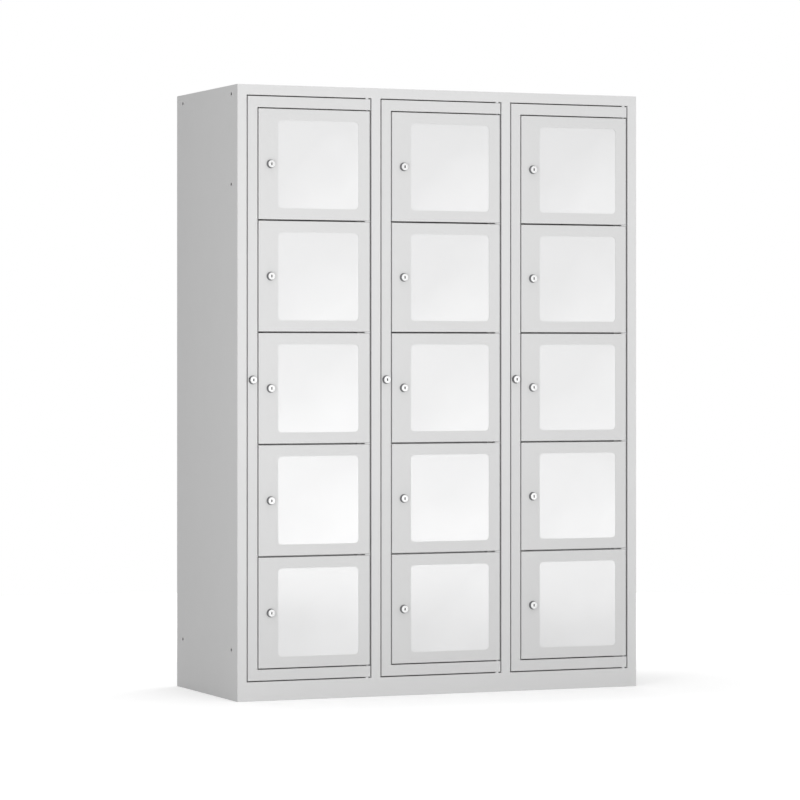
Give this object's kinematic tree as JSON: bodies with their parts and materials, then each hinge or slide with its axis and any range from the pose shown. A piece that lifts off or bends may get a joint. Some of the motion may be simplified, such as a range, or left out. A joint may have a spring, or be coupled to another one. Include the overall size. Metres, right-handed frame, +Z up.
{
  "type": "parcel locker",
  "caption": "Floor-standing steel locker with columns of small windowed lock doors, each column hung on a tall lockable access frame that swings open for loading.",
  "frame": {"origin": "centre of the cabinet's footprint on the floor", "axes": "+X to the right along the front, +Y from the front face to the back, +Z up"},
  "size_m": [1.2, 0.509, 1.67],
  "materials": {
    "cabinet_paint": "light grey powder coat, satin",
    "door_paint": "light grey powder coat, satin",
    "window_pane": "opal near-white, glossy",
    "lock_metal": "polished",
    "bare_steel": "bright zinc-plated"
  },
  "bodies": {
    "cabinet": {"left_side_panel": "cabinet_paint", "right_side_panel": "cabinet_paint", "dividers": "cabinet_paint", "top_panel": "cabinet_paint", "base_panel": "cabinet_paint", "back_panel": "cabinet_paint", "front_frame": "cabinet_paint", "shelves": "cabinet_paint", "frame_pivot_pins": "bare_steel"},
    "access_frame_left": {"access_frame_left": "door_paint"},
    "access_lock_left": {"access_lock_left": "lock_metal"},
    "door_left_1": {"door_left_1": "door_paint", "window_left_1": "window_pane"},
    "door_lock_left_1": {"door_lock_left_1": "lock_metal"},
    "door_left_2": {"door_left_2": "door_paint", "window_left_2": "window_pane"},
    "door_lock_left_2": {"door_lock_left_2": "lock_metal"},
    "door_left_3": {"door_left_3": "door_paint", "window_left_3": "window_pane"},
    "door_lock_left_3": {"door_lock_left_3": "lock_metal"},
    "door_left_4": {"door_left_4": "door_paint", "window_left_4": "window_pane"},
    "door_lock_left_4": {"door_lock_left_4": "lock_metal"},
    "door_left_5": {"door_left_5": "door_paint", "window_left_5": "window_pane"},
    "door_lock_left_5": {"door_lock_left_5": "lock_metal"},
    "access_frame_middle": {"access_frame_middle": "door_paint"},
    "access_lock_middle": {"access_lock_middle": "lock_metal"},
    "door_middle_1": {"door_middle_1": "door_paint", "window_middle_1": "window_pane"},
    "door_lock_middle_1": {"door_lock_middle_1": "lock_metal"},
    "door_middle_2": {"door_middle_2": "door_paint", "window_middle_2": "window_pane"},
    "door_lock_middle_2": {"door_lock_middle_2": "lock_metal"},
    "door_middle_3": {"door_middle_3": "door_paint", "window_middle_3": "window_pane"},
    "door_lock_middle_3": {"door_lock_middle_3": "lock_metal"},
    "door_middle_4": {"door_middle_4": "door_paint", "window_middle_4": "window_pane"},
    "door_lock_middle_4": {"door_lock_middle_4": "lock_metal"},
    "door_middle_5": {"door_middle_5": "door_paint", "window_middle_5": "window_pane"},
    "door_lock_middle_5": {"door_lock_middle_5": "lock_metal"},
    "access_frame_right": {"access_frame_right": "door_paint"},
    "access_lock_right": {"access_lock_right": "lock_metal"},
    "door_right_1": {"door_right_1": "door_paint", "window_right_1": "window_pane"},
    "door_lock_right_1": {"door_lock_right_1": "lock_metal"},
    "door_right_2": {"door_right_2": "door_paint", "window_right_2": "window_pane"},
    "door_lock_right_2": {"door_lock_right_2": "lock_metal"},
    "door_right_3": {"door_right_3": "door_paint", "window_right_3": "window_pane"},
    "door_lock_right_3": {"door_lock_right_3": "lock_metal"},
    "door_right_4": {"door_right_4": "door_paint", "window_right_4": "window_pane"},
    "door_lock_right_4": {"door_lock_right_4": "lock_metal"},
    "door_right_5": {"door_right_5": "door_paint", "window_right_5": "window_pane"},
    "door_lock_right_5": {"door_lock_right_5": "lock_metal"}
  },
  "joints": [
    {"name": "access_frame_left_hinge", "type": "hinge", "parent": "cabinet", "child": "access_frame_left", "pos_m": [-0.221, -0.244, 0.847], "axis": [0, 0, 1], "range_deg": [0, 110]},
    {"name": "access_lock_left_turn", "type": "hinge", "parent": "access_frame_left", "child": "access_lock_left", "pos_m": [-0.556, -0.25, 0.87], "axis": [0, 1, 0], "range_deg": [0, 90]},
    {"name": "door_left_1_hinge", "type": "hinge", "parent": "access_frame_left", "child": "door_left_1", "pos_m": [-0.221, -0.244, 1.4558], "axis": [0, 0, -1], "range_deg": [-115, 0]},
    {"name": "door_lock_left_1_turn", "type": "hinge", "parent": "door_left_1", "child": "door_lock_left_1", "pos_m": [-0.504, -0.25, 1.4558], "axis": [0, 1, 0], "range_deg": [0, 90]},
    {"name": "door_left_2_hinge", "type": "hinge", "parent": "access_frame_left", "child": "door_left_2", "pos_m": [-0.221, -0.244, 1.1514], "axis": [0, 0, -1], "range_deg": [-115, 0]},
    {"name": "door_lock_left_2_turn", "type": "hinge", "parent": "door_left_2", "child": "door_lock_left_2", "pos_m": [-0.504, -0.25, 1.1514], "axis": [0, 1, 0], "range_deg": [0, 90]},
    {"name": "door_left_3_hinge", "type": "hinge", "parent": "access_frame_left", "child": "door_left_3", "pos_m": [-0.221, -0.244, 0.847], "axis": [0, 0, -1], "range_deg": [-115, 0]},
    {"name": "door_lock_left_3_turn", "type": "hinge", "parent": "door_left_3", "child": "door_lock_left_3", "pos_m": [-0.504, -0.25, 0.847], "axis": [0, 1, 0], "range_deg": [0, 90]},
    {"name": "door_left_4_hinge", "type": "hinge", "parent": "access_frame_left", "child": "door_left_4", "pos_m": [-0.221, -0.244, 0.5426], "axis": [0, 0, -1], "range_deg": [-115, 0]},
    {"name": "door_lock_left_4_turn", "type": "hinge", "parent": "door_left_4", "child": "door_lock_left_4", "pos_m": [-0.504, -0.25, 0.5426], "axis": [0, 1, 0], "range_deg": [0, 90]},
    {"name": "door_left_5_hinge", "type": "hinge", "parent": "access_frame_left", "child": "door_left_5", "pos_m": [-0.221, -0.244, 0.2382], "axis": [0, 0, -1], "range_deg": [-115, 0]},
    {"name": "door_lock_left_5_turn", "type": "hinge", "parent": "door_left_5", "child": "door_lock_left_5", "pos_m": [-0.504, -0.25, 0.2382], "axis": [0, 1, 0], "range_deg": [0, 90]},
    {"name": "access_frame_middle_hinge", "type": "hinge", "parent": "cabinet", "child": "access_frame_middle", "pos_m": [0.17, -0.244, 0.847], "axis": [0, 0, 1], "range_deg": [0, 110]},
    {"name": "access_lock_middle_turn", "type": "hinge", "parent": "access_frame_middle", "child": "access_lock_middle", "pos_m": [-0.165, -0.25, 0.87], "axis": [0, 1, 0], "range_deg": [0, 90]},
    {"name": "door_middle_1_hinge", "type": "hinge", "parent": "access_frame_middle", "child": "door_middle_1", "pos_m": [0.17, -0.244, 1.4558], "axis": [0, 0, -1], "range_deg": [-115, 0]},
    {"name": "door_lock_middle_1_turn", "type": "hinge", "parent": "door_middle_1", "child": "door_lock_middle_1", "pos_m": [-0.113, -0.25, 1.4558], "axis": [0, 1, 0], "range_deg": [0, 90]},
    {"name": "door_middle_2_hinge", "type": "hinge", "parent": "access_frame_middle", "child": "door_middle_2", "pos_m": [0.17, -0.244, 1.1514], "axis": [0, 0, -1], "range_deg": [-115, 0]},
    {"name": "door_lock_middle_2_turn", "type": "hinge", "parent": "door_middle_2", "child": "door_lock_middle_2", "pos_m": [-0.113, -0.25, 1.1514], "axis": [0, 1, 0], "range_deg": [0, 90]},
    {"name": "door_middle_3_hinge", "type": "hinge", "parent": "access_frame_middle", "child": "door_middle_3", "pos_m": [0.17, -0.244, 0.847], "axis": [0, 0, -1], "range_deg": [-115, 0]},
    {"name": "door_lock_middle_3_turn", "type": "hinge", "parent": "door_middle_3", "child": "door_lock_middle_3", "pos_m": [-0.113, -0.25, 0.847], "axis": [0, 1, 0], "range_deg": [0, 90]},
    {"name": "door_middle_4_hinge", "type": "hinge", "parent": "access_frame_middle", "child": "door_middle_4", "pos_m": [0.17, -0.244, 0.5426], "axis": [0, 0, -1], "range_deg": [-115, 0]},
    {"name": "door_lock_middle_4_turn", "type": "hinge", "parent": "door_middle_4", "child": "door_lock_middle_4", "pos_m": [-0.113, -0.25, 0.5426], "axis": [0, 1, 0], "range_deg": [0, 90]},
    {"name": "door_middle_5_hinge", "type": "hinge", "parent": "access_frame_middle", "child": "door_middle_5", "pos_m": [0.17, -0.244, 0.2382], "axis": [0, 0, -1], "range_deg": [-115, 0]},
    {"name": "door_lock_middle_5_turn", "type": "hinge", "parent": "door_middle_5", "child": "door_lock_middle_5", "pos_m": [-0.113, -0.25, 0.2382], "axis": [0, 1, 0], "range_deg": [0, 90]},
    {"name": "access_frame_right_hinge", "type": "hinge", "parent": "cabinet", "child": "access_frame_right", "pos_m": [0.561, -0.244, 0.847], "axis": [0, 0, 1], "range_deg": [0, 110]},
    {"name": "access_lock_right_turn", "type": "hinge", "parent": "access_frame_right", "child": "access_lock_right", "pos_m": [0.226, -0.25, 0.87], "axis": [0, 1, 0], "range_deg": [0, 90]},
    {"name": "door_right_1_hinge", "type": "hinge", "parent": "access_frame_right", "child": "door_right_1", "pos_m": [0.561, -0.244, 1.4558], "axis": [0, 0, -1], "range_deg": [-115, 0]},
    {"name": "door_lock_right_1_turn", "type": "hinge", "parent": "door_right_1", "child": "door_lock_right_1", "pos_m": [0.278, -0.25, 1.4558], "axis": [0, 1, 0], "range_deg": [0, 90]},
    {"name": "door_right_2_hinge", "type": "hinge", "parent": "access_frame_right", "child": "door_right_2", "pos_m": [0.561, -0.244, 1.1514], "axis": [0, 0, -1], "range_deg": [-115, 0]},
    {"name": "door_lock_right_2_turn", "type": "hinge", "parent": "door_right_2", "child": "door_lock_right_2", "pos_m": [0.278, -0.25, 1.1514], "axis": [0, 1, 0], "range_deg": [0, 90]},
    {"name": "door_right_3_hinge", "type": "hinge", "parent": "access_frame_right", "child": "door_right_3", "pos_m": [0.561, -0.244, 0.847], "axis": [0, 0, -1], "range_deg": [-115, 0]},
    {"name": "door_lock_right_3_turn", "type": "hinge", "parent": "door_right_3", "child": "door_lock_right_3", "pos_m": [0.278, -0.25, 0.847], "axis": [0, 1, 0], "range_deg": [0, 90]},
    {"name": "door_right_4_hinge", "type": "hinge", "parent": "access_frame_right", "child": "door_right_4", "pos_m": [0.561, -0.244, 0.5426], "axis": [0, 0, -1], "range_deg": [-115, 0]},
    {"name": "door_lock_right_4_turn", "type": "hinge", "parent": "door_right_4", "child": "door_lock_right_4", "pos_m": [0.278, -0.25, 0.5426], "axis": [0, 1, 0], "range_deg": [0, 90]},
    {"name": "door_right_5_hinge", "type": "hinge", "parent": "access_frame_right", "child": "door_right_5", "pos_m": [0.561, -0.244, 0.2382], "axis": [0, 0, -1], "range_deg": [-115, 0]},
    {"name": "door_lock_right_5_turn", "type": "hinge", "parent": "door_right_5", "child": "door_lock_right_5", "pos_m": [0.278, -0.25, 0.2382], "axis": [0, 1, 0], "range_deg": [0, 90]}
  ]
}
